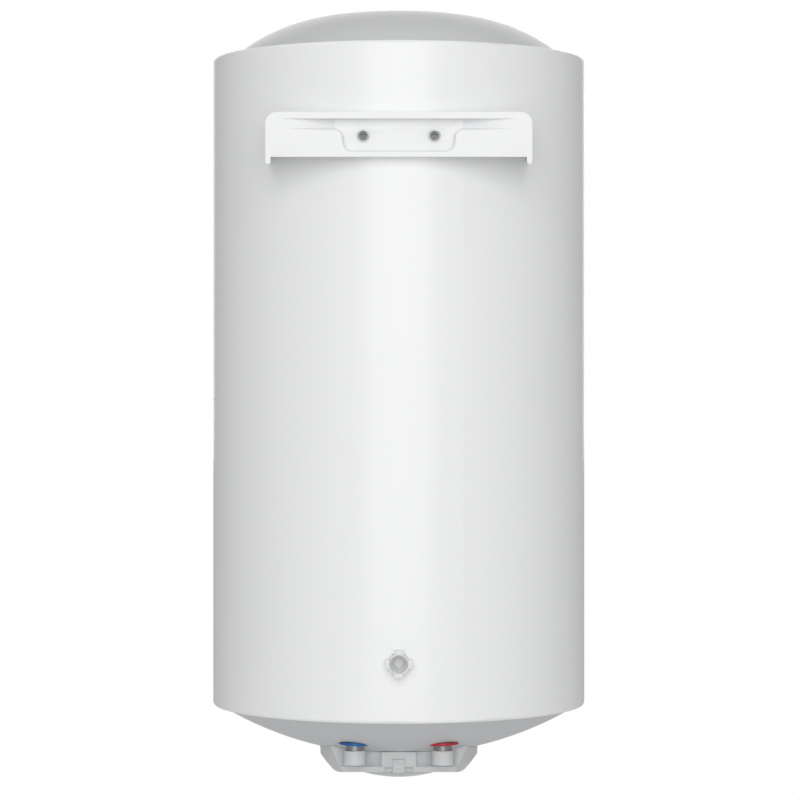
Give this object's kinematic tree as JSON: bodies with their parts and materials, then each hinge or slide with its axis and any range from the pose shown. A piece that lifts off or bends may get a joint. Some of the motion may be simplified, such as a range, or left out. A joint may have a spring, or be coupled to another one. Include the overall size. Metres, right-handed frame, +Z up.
{
  "type": "tank water heater",
  "caption": "Round wall-hung electric storage water heater with a rear hanging bracket, bottom water connections and a service cover with a knob.",
  "frame": {"origin": "middle of the wall bracket's hanging edge, on the wall plane", "axes": "+Z up, +Y out of the heater's back into the wall, +X towards the cold water side"},
  "size_m": [0.445, 0.4589, 0.9109],
  "materials": {
    "bracket_paint": "white stoved enamel on the pressed bracket",
    "casing_paint": "smooth white stoved enamel, satin",
    "cap_plastic": "light grey moulded plastic, fine matt grain",
    "base_plastic": "light grey moulded plastic, fine matt grain",
    "foam": "rigid cellular foam",
    "tank_enamel": "blue glass enamel over steel",
    "plated_steel": "bright zinc plate",
    "dark_steel": "darkened steel of the two bracket screws",
    "raw_steel": "plain steel, slightly dull",
    "gasket_rubber": "matt",
    "copper": "dull copper sheath",
    "ceramic_white": "unglazed white ceramic",
    "magnesium": "grey cast magnesium",
    "thermostat_plastic": "cream heat-resistant plastic",
    "brass": "plain turned brass",
    "red_button": "gloss",
    "blue_plastic": "satin",
    "red_plastic": "satin",
    "natural_plastic": "slightly milky polyethylene",
    "cover_plastic": "light grey moulded plastic, satin",
    "grey_rubber": "matt",
    "lamp_orange": "clear tinted plastic",
    "wire_brown": "smooth insulation"
  },
  "bodies": {
    "heater": {"outer_casing": "casing_paint", "top_cap": "cap_plastic", "bottom_cap": "base_plastic", "foam_insulation": "foam", "tank_shell": "tank_enamel", "tank_top_head": "tank_enamel", "tank_bottom_head": "tank_enamel", "flange_ring": "tank_enamel", "flange_studs": "plated_steel", "flange_gasket": "gasket_rubber", "flange_plate": "plated_steel", "flange_washers": "plated_steel", "flange_nuts": "plated_steel", "heating_element": "copper", "element_terminals": "ceramic_white", "thermostat_pocket": "copper", "anode_rod": "magnesium", "anode_stud": "plated_steel", "anode_nut": "plated_steel", "thermostat": "thermostat_plastic", "cold_inlet_pipe": "raw_steel", "inlet_diffuser": "natural_plastic", "hot_outlet_pipe": "raw_steel", "hot_standpipe": "plated_steel", "cold_collar": "blue_plastic", "hot_collar": "red_plastic", "bracket_anchor": "raw_steel", "wall_bracket": "bracket_paint", "bracket_washers": "plated_steel", "bracket_screws": "dark_steel", "wall_spacer": "natural_plastic", "service_cover": "cover_plastic", "cover_screws": "plated_steel", "cord_gland": "grey_rubber", "terminal_block": "ceramic_white", "terminal_screws": "brass", "earth_stud": "brass", "earth_nut": "brass", "lamp_holder": "thermostat_plastic", "indicator_lens": "lamp_orange", "internal_wires": "wire_brown"},
    "knob": {"control_knob": "cover_plastic", "thermostat_spindle": "brass"},
    "reset_button": {"reset_button": "red_button"},
    "cold_thread_cap": {"cold_thread_cap": "cover_plastic"},
    "hot_thread_cap": {"hot_thread_cap": "cover_plastic"},
    "cover_latch": {"cover_latch": "cover_plastic"}
  },
  "joints": [
    {"name": "knob_turn", "type": "hinge", "parent": "heater", "child": "knob", "pos_m": [0, -0.2365, -0.7228], "axis": [0, 0, 1], "range_deg": [0, 270]},
    {"name": "reset_press", "type": "slide", "parent": "heater", "child": "reset_button", "axis": [0, 1, 0], "range_m": [0, 0.0015], "stiffness_N_per_m": 400},
    {"name": "cold_cap_pull", "type": "slide", "parent": "heater", "child": "cold_thread_cap", "axis": [0, 0, -1], "range_m": [0, 0.016]},
    {"name": "hot_cap_pull", "type": "slide", "parent": "heater", "child": "hot_thread_cap", "axis": [0, 0, -1], "range_m": [0, 0.016]},
    {"name": "latch_press", "type": "hinge", "parent": "heater", "child": "cover_latch", "pos_m": [0, -0.1323, -0.6934], "axis": [-1, 0, 0], "range_deg": [0, 8], "stiffness_Nm_per_rad": 0.2}
  ]
}
